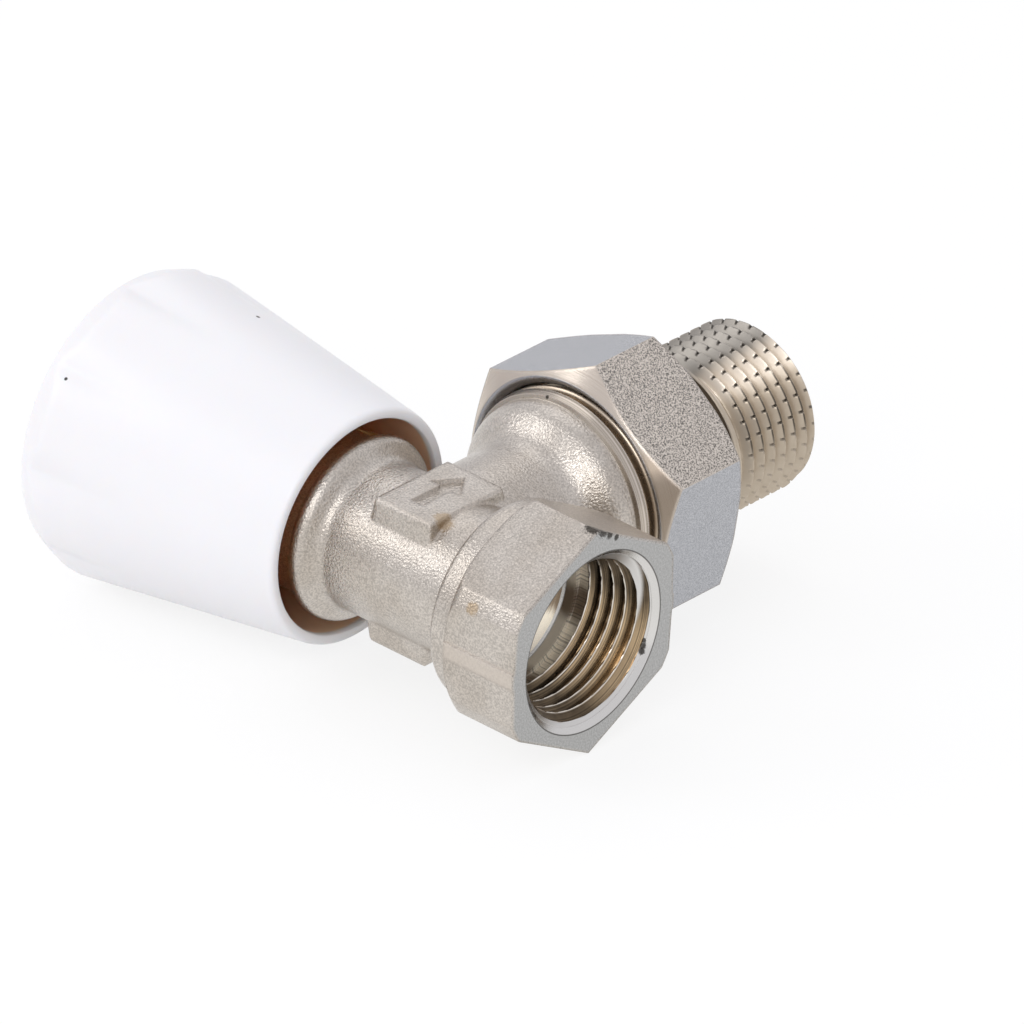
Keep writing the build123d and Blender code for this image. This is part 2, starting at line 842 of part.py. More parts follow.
# Plain cap pressed into the recess, flush with the handwheel's end
cap_radius = handwheel_recess_radius - seat_clearance
with BuildPart() as handwheel_cap:
    turn(
        [
            (handwheel_end_x, 0),
            (handwheel_end_x, cap_radius),
            (washer_end_x - face_clearance, cap_radius),
            (washer_end_x - face_clearance, cap_radius - cap_skirt_wall),
            (handwheel_end_x + cap_thickness, cap_radius - cap_skirt_wall),
            (handwheel_end_x + cap_thickness, 0),
        ],
        Axis.X,
    )
handwheel_cap.part.label = "handwheel_cap"
export_step(handwheel_cap.part, "parts/handwheel_cap.step")
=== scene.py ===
import bpy
import numpy as np
from mathutils import Matrix, Vector


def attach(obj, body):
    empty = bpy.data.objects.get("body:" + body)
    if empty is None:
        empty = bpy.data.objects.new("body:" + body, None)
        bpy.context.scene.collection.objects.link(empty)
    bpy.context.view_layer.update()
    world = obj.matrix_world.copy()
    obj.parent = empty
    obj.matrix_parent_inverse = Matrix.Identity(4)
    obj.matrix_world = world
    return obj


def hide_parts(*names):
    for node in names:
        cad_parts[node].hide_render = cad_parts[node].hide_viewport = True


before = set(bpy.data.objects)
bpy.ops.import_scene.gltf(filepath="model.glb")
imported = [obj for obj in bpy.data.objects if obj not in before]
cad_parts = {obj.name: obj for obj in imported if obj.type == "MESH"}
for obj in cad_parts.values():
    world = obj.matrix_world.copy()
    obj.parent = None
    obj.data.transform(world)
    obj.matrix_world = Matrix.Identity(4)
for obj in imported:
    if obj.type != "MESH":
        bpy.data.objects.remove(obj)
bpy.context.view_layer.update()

# Valve body: one hot brass forging with a hexagon inlet, a flow arrow on its upper pad and a branch.
# It is bead-blasted and nickel plated, and the inlet's end face, the bore and the union end are turned.
# The plating is worn along the edges, which also carry a painted highlight, with a few stains, a nick on
# the union end and dark marks at the inlet's edge.


class Wire:
    """A shader socket. Arithmetic on it adds Math nodes to the same material."""

    def __init__(self, tree, socket):
        self.tree = tree
        self.socket = socket

    def add(self, kind, inputs, out=0, **settings):
        """One more node: its settings first, then the value or the link of each input."""
        node = self.tree.nodes.new("ShaderNode" + kind)
        for key, value in settings.items():
            setattr(node, key, value)
        for key, value in inputs.items():
            if isinstance(value, Wire):
                self.tree.links.new(value.socket, node.inputs[key])
            else:
                node.inputs[key].default_value = value
        return Wire(self.tree, node.outputs[out])

    def math(self, operation, first, second):
        return self.add("Math", {0: first, 1: second}, operation=operation)

    def __add__(self, other):
        return self.math("ADD", self, other)

    def __radd__(self, other):
        return self.math("ADD", other, self)

    def __sub__(self, other):
        return self.math("SUBTRACT", self, other)

    def __rsub__(self, other):
        return self.math("SUBTRACT", other, self)

    def __mul__(self, other):
        return self.math("MULTIPLY", self, other)

    def __rmul__(self, other):
        return self.math("MULTIPLY", other, self)


def rise(value, low, high):
    """0 below low, 1 above high, with a smooth step between."""
    ends = {0: value, 1: low, 2: high}
    return value.add("MapRange", ends, interpolation_type="SMOOTHSTEP")


def band(value, start, full, fade, end):
    """0 up to start, 1 from full to fade and 0 again from end on, with smooth steps between."""
    return rise(value, start, full) * (1 - rise(value, fade, end))


def larger(first, second):
    return first.math("MAXIMUM", first, second)


def cloud(place, scale, detail=2.0, roughness=0.5):
    """Noise of that many grains to the metre, about 0 to 1."""
    grain = {"Vector": place, "Scale": scale, "Detail": detail, "Roughness": roughness}
    return place.add("TexNoise", grain)


def tool_lines(along, scale, detail=2.0):
    """Noise that changes only with along, as the marks of a turning tool do."""
    marks = {"W": along, "Scale": scale, "Detail": detail}
    return along.add("TexNoise", marks, noise_dimensions="1D")


def tint(share, first, second):
    """The first colour where share is 0 and the second where it is 1."""
    return share.add("Mix", {0: share, 6: first, 7: second}, out=2, data_type="RGBA")


def shade_by(colour, share):
    """The colour made darker or lighter by share, which is about 1."""
    both = {0: 1.0, 6: colour, 7: share}
    return share.add("Mix", both, out=2, data_type="RGBA", blend_type="MULTIPLY")


MM = 0.001


def coordinate(place, axis):
    """Millimetres from the origin along X, Y or Z."""
    return place.add("SeparateXYZ", {0: place}, out="XYZ".index(axis)) * 1000


def reach_from(place, centre, keep):
    """Millimetres from centre, counted only along the axes whose entry in keep is 1."""
    moved = place.add("VectorMath", {0: place, 1: [v * MM for v in centre]}, operation="SUBTRACT")
    flat = place.add("VectorMath", {0: moved, 1: keep}, operation="MULTIPLY")
    return place.add("VectorMath", {0: flat}, out=1, operation="LENGTH") * 1000


def from_stem_axis(place):
    """Millimetres out from the stem's axis, which is X."""
    return reach_from(place, (0, 0, 0), (0, 1, 1))


def spot(place, centre, size, ragged):
    """1 at centre, fading out at about size from it, with an edge as ragged as that cloud."""
    away = reach_from(place, centre, (1, 1, 1)) + (ragged - 0.5) * size
    return 1 - rise(away, 0.55 * size, size)


def rounded_edges(place, radius):
    """The normal with its edges rounded to radius, the true normal and how far the first leans off it."""
    rounded = place.add("Bevel", {"Radius": radius * MM}, samples=6)
    true = place.add("NewGeometry", {}, out="Normal")
    square_on = place.add("VectorMath", {0: rounded, 1: true}, out=1, operation="DOT_PRODUCT")
    return rounded, true, 1 - square_on


def new_finish(name, **fixed):
    """A material with one Principled shader; gives the material, that shader and the place on the piece."""
    material = bpy.data.materials.new(name)
    material.use_nodes = True
    shader = material.node_tree.nodes["Principled BSDF"]
    for socket, value in fixed.items():
        shader.inputs[socket.replace("_", " ")].default_value = value
    coords = material.node_tree.nodes.new("ShaderNodeTexCoord")
    return material, shader, Wire(material.node_tree, coords.outputs["Object"])


def feed(shader, **wires):
    """Links each wire to the shader's socket of that name."""
    for socket, wire in wires.items():
        wire.tree.links.new(wire.socket, shader.inputs[socket.replace("_", " ")])


def dress(material, *nodes):
    """Gives CAD nodes their finish."""
    for node in nodes:
        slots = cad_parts[node].data.materials
        slots.clear()
        slots.append(material)


NICKEL_PALE = (0.57, 0.525, 0.475, 1)
NICKEL_DEEP = (0.50, 0.45, 0.395, 1)
NICKEL_TURNED = (0.40, 0.35, 0.29, 1)
NICKEL_FACED = (0.412, 0.41, 0.402, 1)
NICKEL_BRIGHT = (0.64, 0.57, 0.50, 1)
BORE_PAINTED_BRIGHT_SHEEN = (0.98, 0.89, 0.73, 1)
BORE_PAINTED_DARK_SHEEN = (0.28, 0.21, 0.145, 1)
SILVER = (0.70, 0.685, 0.66, 1)
OCHRE = (0.44, 0.31, 0.17, 1)
NEAR_BLACK_MARK_AND_SHADE = (0.035, 0.03, 0.025, 1)
BEAD_DEPTH = 0.07 * MM
UNION_NICK = ((-26.56, 20.63, 12.74), 0.32)
STAINS = (((-20.0, -3.6, 8.9), 1.5), ((-7.0, -12.85, 6.6), 1.0))
FACE_DARK_MARKS = (
    ((-0.9, 0.2, 14.5), 1.3),
    ((-0.2, 1.0, 14.1), 1.1),
    ((0.0, 2.0, 13.2), 0.7),
    ((0.0, 3.1, 12.4), 0.5),
)
MOUTH_DARK_MARKS = (
    ((-0.80, 9.55, -3.9), 0.34),
    ((-0.74, 9.38, -4.5), 0.48),
    ((-0.66, 9.1, -5.1), 0.5),
)

blasted_nickel, shader, place = new_finish("blasted_nickel", Metallic=1.0)
x = coordinate(place, "X")
y = coordinate(place, "Y")
z = coordinate(place, "Z")
from_stem = from_stem_axis(place)
in_mouth = (1 - rise(from_stem, 11.14, 11.20)) * rise(x, -13.9, -13.8)
in_seat = (1 - rise(from_stem, 8.5, 8.6)) * rise(x, -22.0, -21.8)
in_bore = larger(in_mouth, in_seat)
on_face = rise(x, -0.30, -0.12)
on_union = rise(y, 20.42, 20.56)
turned = larger(larger(in_bore, on_face), on_union)

# Blasted relief, on edges that are rounded everywhere but at the turned mouth, bore and union end
beads = cloud(place, 4300, 2.0, 0.6)
pits = place.add("TexVoronoi", {"Vector": place, "Scale": 3300.0})
blasted = (beads + pits * 0.6) * (1 - turned)
soft_edges, true_normal, lean = rounded_edges(place, 0.7)
at_lip = (1 - rise(from_stem, 11.9, 12.3)) * rise(x, -0.9, -0.8)
crisp = larger(larger(at_lip, in_bore), on_union)
both_normals = {0: crisp, 4: soft_edges, 5: true_normal}
edges = place.add("Mix", both_normals, out=1, data_type="VECTOR")
relief = {"Strength": 0.85, "Distance": BEAD_DEPTH, "Height": blasted, "Normal": edges}
bump = place.add("Bump", relief)

# Plating: clouded and grained, paler along the edges and the forging seam, partly as wear and partly as a
# painted highlight, lined on the union end
patches = cloud(place, 140, 3.0)
colour = tint(rise(patches, 0.35, 0.7), NICKEL_PALE, NICKEL_DEEP)
colour = shade_by(colour, 0.80 + rise(beads, 0.3, 0.7) * 0.41)
# Painted highlight mixed with wear: the rounded edges and the seam are made paler
worn_and_highlit = rise(lean, 0.01, 0.12) * rise(beads, 0.35, 0.6)
off_seam = z.math("ABSOLUTE", z, 0)
seam = (1 - rise(off_seam, 0.7, 1.5)) * (1 - rise(y, -13.1, -12.9))
colour = tint(larger(worn_and_highlit * 0.8, seam * 0.7) * (1 - turned), colour, NICKEL_BRIGHT)
union_lines = tint(rise(tool_lines(y, 4.2), 0.35, 0.65), NICKEL_TURNED, NICKEL_BRIGHT)
colour = tint(on_union, colour, union_lines)
square_to_face = rise(place.add("SeparateXYZ", {0: soft_edges}, out=0), 0.86, 0.99)
faced = on_face * larger(crisp, square_to_face)
colour = tint(faced, colour, shade_by(NICKEL_FACED, 0.88 + rise(beads, 0.3, 0.7) * 0.24))

# Bore: painted reflections in bright and dark sectors on the coned floor, a painted highlight line on the
# cone's edge, a ticked relief behind the thread, a silver countersink
sweep = z.math("ARCTAN2", y, z)
# Painted reflection: bright and dark sectors round the bore, standing in for the sheen of a turned surface
painted_sheen_sectors = z.add("Math", {0: sweep * 5 + 1.66}, operation="SINE") + (cloud(place, 500, 2.0) - 0.5) * 0.6
rings = tool_lines(from_stem, 2.6)
bore_with_painted_sheen = tint(rise(painted_sheen_sectors + (rings - 0.5) * 1.2, -0.95, 0.0), BORE_PAINTED_DARK_SHEEN, BORE_PAINTED_BRIGHT_SHEEN)
in_relief = in_mouth * band(x, -10.9, -10.8, -9.6, -9.5)
ticks = rise(tool_lines(sweep, 34.0, 1.0), 0.45, 0.7)
bore_with_painted_sheen = shade_by(bore_with_painted_sheen, 1 - in_relief * ticks * 0.45)
in_wall = in_mouth * band(x, -12.3, -12.25, -9.6, -9.5)
# Painted highlight: a thin silver line on the cone's edge
cone_edge_painted_highlight = in_mouth * band(x, -12.46, -12.40, -12.20, -12.14)
colour = tint(in_bore, colour, tint(cone_edge_painted_highlight, bore_with_painted_sheen, SILVER))
in_countersink = in_bore * band(from_stem - x, 11.05, 11.12, 11.18, 11.25)
colour = tint(in_countersink, colour, SILVER)
mouth_line = band(from_stem, 11.08, 11.14, 11.22, 11.30) * on_face
colour = tint(mouth_line * 0.8, colour, NEAR_BLACK_MARK_AND_SHADE)

# Stains, a nick on the union end, and dark marks at the inlet's face and mouth
stained = larger(*[spot(place, *stain, beads) for stain in STAINS])
colour = tint(stained * 0.6, colour, OCHRE)
nick_and_dark_marks = spot(place, *UNION_NICK, patches)
for nick in FACE_DARK_MARKS + MOUTH_DARK_MARKS:
    nick_and_dark_marks = larger(nick_and_dark_marks, spot(place, *nick, beads))
colour = tint(nick_and_dark_marks * 0.9, colour, NEAR_BLACK_MARK_AND_SHADE)
feed(shader, Base_Color=colour, Metallic=1 - in_wall * 0.85)
feed(shader, Roughness=0.28 - turned * 0.06 + worn_and_highlit * 0.2, Normal=bump)
dress(blasted_nickel, "valve_body")

# Inlet thread: a half-inch pipe thread, cut with a single-point tool in the body's own brass.
# Its mouth is countersunk and silvery; its flanks are thinly plated brass, painted dark as shade and golden
# as light near the middle.
TURN = 2 * np.pi
PITCH = 1.814
FLANK_PAINTED_SHADE = (0.035, 0.027, 0.02, 1)
FLANK_GOLD = (0.47, 0.345, 0.21, 1)
CREST_BRIGHT = (0.74, 0.68, 0.60, 1)
MOUTH_R = 11.15
INLET_ROOT_R = 10.44
INLET_SHELL_R = 10.47
INLET_CUT_DEPTH = 1.12
INLET_ENDS = (-0.70, -9.60)


def skin(name, points, material, body):
    """A closed ring of skin over points[i, j]: cell (i, j) is one quad, rows and columns both join
    end to start, and the quads are turned outwards by the sign of the volume that they enclose."""
    rows, columns = points.shape[:2]
    i = np.arange(rows)[:, None]
    j = np.arange(columns)[None, :]
    below, beside = (i + 1) % rows, (j + 1) % columns
    corners = [i * columns + j, i * columns + beside, below * columns + beside, below * columns + j]
    quads = np.stack(corners, -1).reshape(-1, 4)
    flat = points.reshape(-1, 3)
    a, b, c, d = (flat[quads[:, k]] for k in range(4))
    volume = np.sum(a * np.cross(b, c)) + np.sum(a * np.cross(c, d))
    if volume < 0:
        quads = quads[:, ::-1]
    mesh = bpy.data.meshes.new(name)
    mesh.vertices.add(len(flat))
    mesh.vertices.foreach_set("co", flat.ravel())
    mesh.loops.add(quads.size)
    mesh.loops.foreach_set("vertex_index", quads.ravel())
    mesh.polygons.add(len(quads))
    mesh.polygons.foreach_set("loop_start", np.arange(0, quads.size, 4))
    mesh.polygons.foreach_set("use_smooth", np.ones(len(quads), bool))
    mesh.update(calc_edges=True)
    mesh.set_sharp_from_angle(angle=np.radians(38))
    mesh.materials.append(material)
    piece = bpy.data.objects.new(name, mesh)
    bpy.context.scene.collection.objects.link(piece)
    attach(piece, body)
    return piece


def round_the_ring(columns):
    """A row of angles, once round, in that many equal steps."""
    return np.linspace(0, TURN, columns, endpoint=False)[None, :]


def between(start, stop, step):
    """A column of stations from start to stop, about step apart."""
    return np.linspace(start, stop, int(round(abs(stop - start) / step)) + 1)[:, None]


def around_stem(along, radius, angle):
    """Point at along on the stem's X axis, radius out from it, angle from +Y towards +Z.
    It takes millimetres and gives metres."""
    return MM * np.stack([along + 0 * radius, radius * np.cos(angle), radius * np.sin(angle)], -1)


def sharp_ridge(turns):
    """Height from 0 at a thread's root to 1 at its crest. turns counts pitches along the thread, with a
    crest at each whole number: sqrt((1/2 - f)^2 + e^2) - sqrt(f^2 + e^2), made to run from 0 to 1, where
    f is how many pitches off the crest is and e rounds the crest and the root between straight flanks."""
    away = np.abs(turns - np.round(turns))
    flank = np.hypot(0.5 - away, 0.05) - np.hypot(away, 0.05)
    return 0.5 + 0.5 * flank / (np.hypot(0.5, 0.05) - 0.05)


inlet_nickel, shader, place = new_finish("inlet_nickel", Metallic=1.0)
x = coordinate(place, "X")
from_stem = from_stem_axis(place)
streaks = cloud(place, 900, 3.0)
at_mouth = 1 - rise(from_stem - x, 11.17, 11.30)
at_crest = 1 - rise(from_stem, 9.38, 9.46)
# Painted light and shade: the flanks are dark except for a golden pool of light near the middle
painted_golden_light = 1 - rise(reach_from(place, (0, 7.0, -5.5), (0, 1, 1)), 2.5, 8.0)
lines = tool_lines(from_stem + x * 0.4, 5.2)
colour = tint(painted_golden_light * 0.7 + streaks * 0.3, FLANK_PAINTED_SHADE, FLANK_GOLD)
colour = shade_by(colour, 0.6 + rise(lines, 0.3, 0.7) * 0.8)
colour = tint(at_crest, colour, CREST_BRIGHT)
colour = tint(at_mouth, colour, SILVER)
for nick in MOUTH_DARK_MARKS:
    colour = tint(spot(place, *nick, streaks) * 0.9, colour, NEAR_BLACK_MARK_AND_SHADE)
feed(shader, Base_Color=colour, Roughness=0.16 + streaks * 0.12 + at_mouth * 0.1)

# Wall: the root less the ridge's height, or the countersink where that is wider, backed by a shell
angle = round_the_ring(288)
depth = between(*INLET_ENDS, PITCH / 30)
cut = INLET_ROOT_R - INLET_CUT_DEPTH * sharp_ridge(depth / PITCH - angle / TURN - 0.96)
wall = np.maximum(cut, MOUTH_R + depth)
shell = np.broadcast_to(INLET_SHELL_R, (2, angle.size))
shell_ends = np.array(INLET_ENDS[::-1])[:, None]
inlet = np.concatenate([around_stem(depth, wall, angle), around_stem(shell_ends, shell, angle)])
skin("inlet_thread", inlet, inlet_nickel, "valve_body")

# Union thread: the parallel pipe thread on the branch that the nut runs on.
# It is cut in the forging before plating, and only its first turn shows, inside the nut's mouth.
UNION_X = -24.5
UNION_ROOT_R = 12.10
UNION_CREST_R = 13.20
UNION_SHELL_R = 12.07
UNION_ENDS = (21.80, 30.20)
UNION_LEAD_IN = 29.40


def around_union(along, radius, angle):
    """Point at along on the union's Y axis, radius out from it, angle from +X towards +Z.
    It takes millimetres and gives metres."""
    return MM * np.stack([UNION_X + radius * np.cos(angle), along + 0 * radius, radius * np.sin(angle)], -1)


def ridge(turns):
    """Height from 0 at a thread's root to 1 at its crest, as in sharp_ridge, but rounded as a Whitworth
    thread is: 1/2 + tanh(1.3 cos(2 pi turns)) / (2 tanh 1.3)."""
    return 0.5 + 0.5 * np.tanh(1.3 * np.cos(TURN * turns)) / np.tanh(1.3)


union_nickel, shader, place = new_finish("union_nickel", Metallic=1.0)
streaks = cloud(place, 900, 3.0)
colour = tint(streaks, (0.66, 0.56, 0.45, 1), (0.50, 0.41, 0.31, 1))
feed(shader, Base_Color=colour, Roughness=0.22 + streaks * 0.12)

# Wall: the root plus the ridge's height, kept under the crest and the lead-in, around a shell
angle = round_the_ring(240)
reach = between(*UNION_ENDS, PITCH / 20)
cut = UNION_ROOT_R + (UNION_CREST_R - UNION_ROOT_R) * ridge(reach / PITCH + angle / TURN)
cut = np.minimum(cut, np.minimum(UNION_CREST_R, UNION_CREST_R + UNION_LEAD_IN - reach))
shell = np.broadcast_to(UNION_SHELL_R, (2, angle.size))
shell_ends = np.array(UNION_ENDS[::-1])[:, None]
union = np.concatenate([around_union(reach, cut, angle), around_union(shell_ends, shell, angle)])
skin("union_thread", union, union_nickel, "valve_body")

# Tailpiece: turned brass, nickel plated, that slides into the union and screws into the radiator.
# Its thread is notched across the crests, so that sealing tape or hemp grips, and shade is painted dark in
# the notches and along the crests on one side.
# The neck inside the nut is painted dark, as shade.
NECK_PAINTED_SHADE = (0.19, 0.16, 0.13, 1)
TAIL_TOP_PAINTED_SHADE = (0.315, 0.292, 0.262, 1)
TAIL_PAINTED_HIGHLIGHT = (0.86, 0.77, 0.66, 1)
TAIL_BORE_R = 6.40
TAIL_ROOT_R = 9.32
TAIL_CREST_R = 10.47
TAIL_TIP_R = 9.58
TAIL_THREAD_START = 40.48
TAIL_END = 54.00
RUNOUT_START, RUNOUT_LENGTH = 40.5, 0.9
NOTCHES = 31
FIRST_NOTCH = 66.5
NOTCH_R = 10.4
NOTCH_HALF_WIDTH = 0.24
NOTCH_DEPTH = 0.5

tail_nickel, shader, place = new_finish("tail_nickel", Metallic=1.0)
streaks = cloud(place, 900, 3.0)
y = coordinate(place, "Y")
z = coordinate(place, "Z")
from_union = reach_from(place, (UNION_X, 0, 0), (1, 0, 1))
around = z.math("ARCTAN2", z, coordinate(place, "X") - UNION_X) * (180 / np.pi)
on_thread = rise(y, RUNOUT_START, 40.9)
colour = tint(streaks, (0.60, 0.52, 0.42, 1), (0.51, 0.43, 0.335, 1))
# Painted shade and highlight: the top of the thread is painted darker, and a band below it paler, as the
# light falls
colour = tint(band(around, 66, 82, 120, 150), colour, TAIL_TOP_PAINTED_SHADE)
colour = tint(band(around, 42, 58, 66, 80) * on_thread * 0.75, colour, TAIL_PAINTED_HIGHLIGHT)
half_step = 180 / NOTCHES
off_notch = z.add("Math", {0: around - FIRST_NOTCH, 1: half_step, 2: -half_step}, operation="WRAP")
# Painted shade: the notches are darkened, less so low on the thread
notch_painted_shade = 1 - rise(z.math("ABSOLUTE", off_notch, 0), 0.57, 1.37)
notch_painted_shade = notch_painted_shade * rise(from_union, 9.90, 10.05) * on_thread * (0.3 + rise(around, 0, 15) * 0.7)
# Painted shade: dark lines along the crests on one side of the thread
crest_painted_shade = rise(from_union, 10.28, 10.38) * on_thread * band(around, 2, 16, 46, 58)
colour = tint(larger(crest_painted_shade * 0.85, notch_painted_shade * 0.8), colour, NEAR_BLACK_MARK_AND_SHADE)
# Painted shade: the neck inside the nut is darkened
colour = tint((1 - rise(y, 39.76, 39.84)) * 0.85, colour, NECK_PAINTED_SHADE)
feed(shader, Base_Color=colour, Roughness=0.33 + streaks * 0.12)

# Outline carried round the union's axis, then the root plus the ridge, cut by notches and the tip
angle = round_the_ring(NOTCHES * 12)
shank_outline = np.array(
    [
        (24.25, TAIL_BORE_R),
        (24.25, 8.70),
        (24.55, 9.00),
        (25.45, 9.00),
        (25.45, 7.50),
        (27.05, 7.50),
        (27.05, 9.00),
        (30.25, 9.00),
        (30.25, 11.50),
        (30.45, 11.70),
        (31.95, 11.70),
        (32.15, 11.50),
        (32.15, 9.70),
        (39.80, 9.70),
        (39.80, 10.36),
        (39.90, 10.46),
        (40.22, 10.46),
        (40.40, 10.25),
    ]
)
shank = around_union(shank_outline[:, :1], shank_outline[:, 1:] + 0 * angle, angle)
reach = between(TAIL_THREAD_START, TAIL_END, PITCH / 24)
crests = sharp_ridge(reach / PITCH + angle / TURN - 0.56)
runout = np.clip((reach - RUNOUT_START) / RUNOUT_LENGTH, 0, 1)
notch_step = TURN / NOTCHES
from_notch = (angle - np.radians(FIRST_NOTCH) + notch_step / 2) % notch_step - notch_step / 2
notch = np.clip(1 - np.abs(from_notch) * NOTCH_R / NOTCH_HALF_WIDTH, 0, 1)
tooth = TAIL_ROOT_R + (TAIL_CREST_R - TAIL_ROOT_R) * crests * runout
tooth = np.minimum(tooth, TAIL_CREST_R - NOTCH_DEPTH * notch)
tooth = np.minimum(tooth, TAIL_TIP_R + TAIL_END - reach)
bore = np.broadcast_to(TAIL_BORE_R, (1, angle.size))
tail = np.concatenate([shank, around_union(reach, tooth, angle), around_union(TAIL_END, bore, angle)])
tailpiece = skin("tailpiece_turned", tail, tail_nickel, "tail")
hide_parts("tailpiece")

# Union nut: a hexagon of forged brass, nickel plated, that draws the tailpiece's flange to the body.
# Its flats are blasted grey, and the one to the fore is painted warmer with painted glints and dark
# speckle, as the light falls on it; both chamfered ends are turned.
NUT_GREY = (0.436, 0.442, 0.464, 1)
CHAMFER_SLOPE = 0.5774
FORE_COS, FORE_SIN = np.cos(np.radians(53)), np.sin(np.radians(53))
FORE_REACH = 15.0 + UNION_X * FORE_COS

nut_nickel, shader, place = new_finish("nut_nickel", Metallic=1.0)
y = coordinate(place, "Y")
from_union = reach_from(place, (UNION_X, 0, 0), (1, 0, 1))
front = 1 - rise(y - from_union * CHAMFER_SLOPE, 13.97, 14.05)
rear = rise(y + from_union * CHAMFER_SLOPE, 43.70, 43.78)
turned = larger(front, rear)
fore_way = coordinate(place, "X") * FORE_COS + coordinate(place, "Z") * FORE_SIN
painted_glint_flat = rise(fore_way, FORE_REACH - 0.08, FORE_REACH - 0.04) * (1 - turned)
beads = cloud(place, 6200, 2.0, 0.6)
pits = place.add("TexVoronoi", {"Vector": place, "Scale": 5200.0})
lines = tool_lines(from_union, 5.0)
soft_edges, true_normal, lean = rounded_edges(place, 0.6)
blasted = (beads + pits * 0.6) * (1 - turned) + lines * turned * 0.1
relief = {"Strength": 0.8, "Distance": BEAD_DEPTH, "Height": blasted, "Normal": soft_edges}
bump = place.add("Bump", relief)
colour = shade_by(NUT_GREY, 0.82 + rise(beads, 0.35, 0.65) * 0.36)
# Painted glints: bright and dark speckle on the fore flat only
painted_glints = 0.12 + rise(beads + pits * 0.3, 0.44, 0.76) * 1.30
colour = tint(painted_glint_flat, colour, shade_by(tint(beads, NICKEL_PALE, NICKEL_DEEP), painted_glints))
colour = tint(turned, colour, tint(lines, (0.69, 0.62, 0.545, 1), (0.58, 0.505, 0.43, 1)))
# Edges paler: partly wear, partly a painted highlight where they are rounded and softly lit
colour = tint(rise(lean, 0.01, 0.12) * 0.7, colour, NICKEL_BRIGHT)
feed(shader, Base_Color=colour, Roughness=0.27 - turned * 0.05, Normal=bump)
dress(nut_nickel, "union_nut")

# Bonnet, gland nut and washer, spindle and plug: turned from brass bar and left bare.
# The bonnet screws into the body's stem end, and the gland nut closes it around the spindle,
# which carries the plug on its tip.
bare_brass, shader, place = new_finish("bare_brass", Metallic=1.0)
rings = cloud(place, 1200, 2.0)
colour = tint(rings, (0.62, 0.44, 0.20, 1), (0.50, 0.34, 0.15, 1))
feed(shader, Base_Color=colour, Roughness=0.25 + rings * 0.15)
dress(bare_brass, "bonnet", "gland_nut", "gland_washer", "spindle", "valve_plug")

# Screws, clip, retaining ring and the handwheel's washer: bright zinc-plated steel.
# The screws hold the plug's disc and the handwheel, and the clip and the ring are sprung into grooves.
steel, shader, place = new_finish("steel", Metallic=1.0)
brushed = cloud(place, 1500, 2.0)
colour = tint(brushed, (0.55, 0.55, 0.54, 1), (0.45, 0.45, 0.44, 1))
feed(shader, Base_Color=colour, Roughness=0.28 + brushed * 0.12)
dress(steel, "plug_screw", "plug_retaining_ring", "spindle_clip", "handwheel_washer", "handwheel_screw")

# O-rings and the plug's closing disc: moulded black rubber, a little bloomed.
# The rings are slipped over the tail, the bonnet and the spindle, and a screw holds the disc.
black_rubber, shader, place = new_finish("black_rubber", Specular_IOR_Level=0.4)
bloom = cloud(place, 700, 3.0)
colour = tint(bloom, (0.018, 0.018, 0.019, 1), (0.035, 0.034, 0.033, 1))
feed(shader, Base_Color=colour, Roughness=0.55 + bloom * 0.15)
dress(black_rubber, "tailpiece_o_ring", "bonnet_o_ring", "plug_seal")
dress(black_rubber, "spindle_o_ring_lower", "spindle_o_ring_upper")

# Handwheel and its cap: white plastic, moulded in one shot, glossy, with nine shallow grip valleys.
# The wheel sits on the spindle's square under a screw, and the cap is pressed in over the screw.
# Its inside is painted warm, standing in for the light from the brass and through the wall.
WHEEL_SPECKS = (((-68.59, -14.27, 11.56), 0.3), ((-57.56, 5.61, 16.39), 0.35))
WHEEL_INSIDE_PAINTED_WARM = (0.96, 0.70, 0.51, 1)
MOUTH_X, END_X = -36.0, -71.9
WHEEL_MOUTH_R = 14.4
WHEEL_TAPER = np.tan(np.radians(7.8))
VALLEYS = 9
FIRST_VALLEY = np.radians(17.0)
VALLEY_DEPTH = 1.0
VALLEY_LENGTH = 19.0
EDGE_R, EDGE_SLOPE = 17.757, 1.15 / 3.0

white_plastic, shader, place = new_finish(
    "white_plastic",
    Specular_IOR_Level=0.5,
    Subsurface_Weight=0.4,
    Subsurface_Radius=(1.0, 0.8, 0.65),
    Subsurface_Scale=2 * MM,
)
x = coordinate(place, "X")
from_stem = from_stem_axis(place)
# Painted light and shade: the inside wall is coloured warm brown
inner = (1 - rise(from_stem + x * 0.118, 9.2, 9.7)) * band(x, -68.95, -68.85, -37.2, -36.5)
shade = cloud(place, 60, 2.0)
outside = tint(shade, (0.86, 0.85, 0.86, 1), (0.84, 0.83, 0.84, 1))
specks = larger(*[spot(place, *speck, shade) for speck in WHEEL_SPECKS])
colour = tint(specks, tint(inner, outside, WHEEL_INSIDE_PAINTED_WARM), NEAR_BLACK_MARK_AND_SHADE)
feed(shader, Base_Color=colour, Roughness=0.3 + shade * 0.08)
dress(white_plastic, "handwheel_cap")

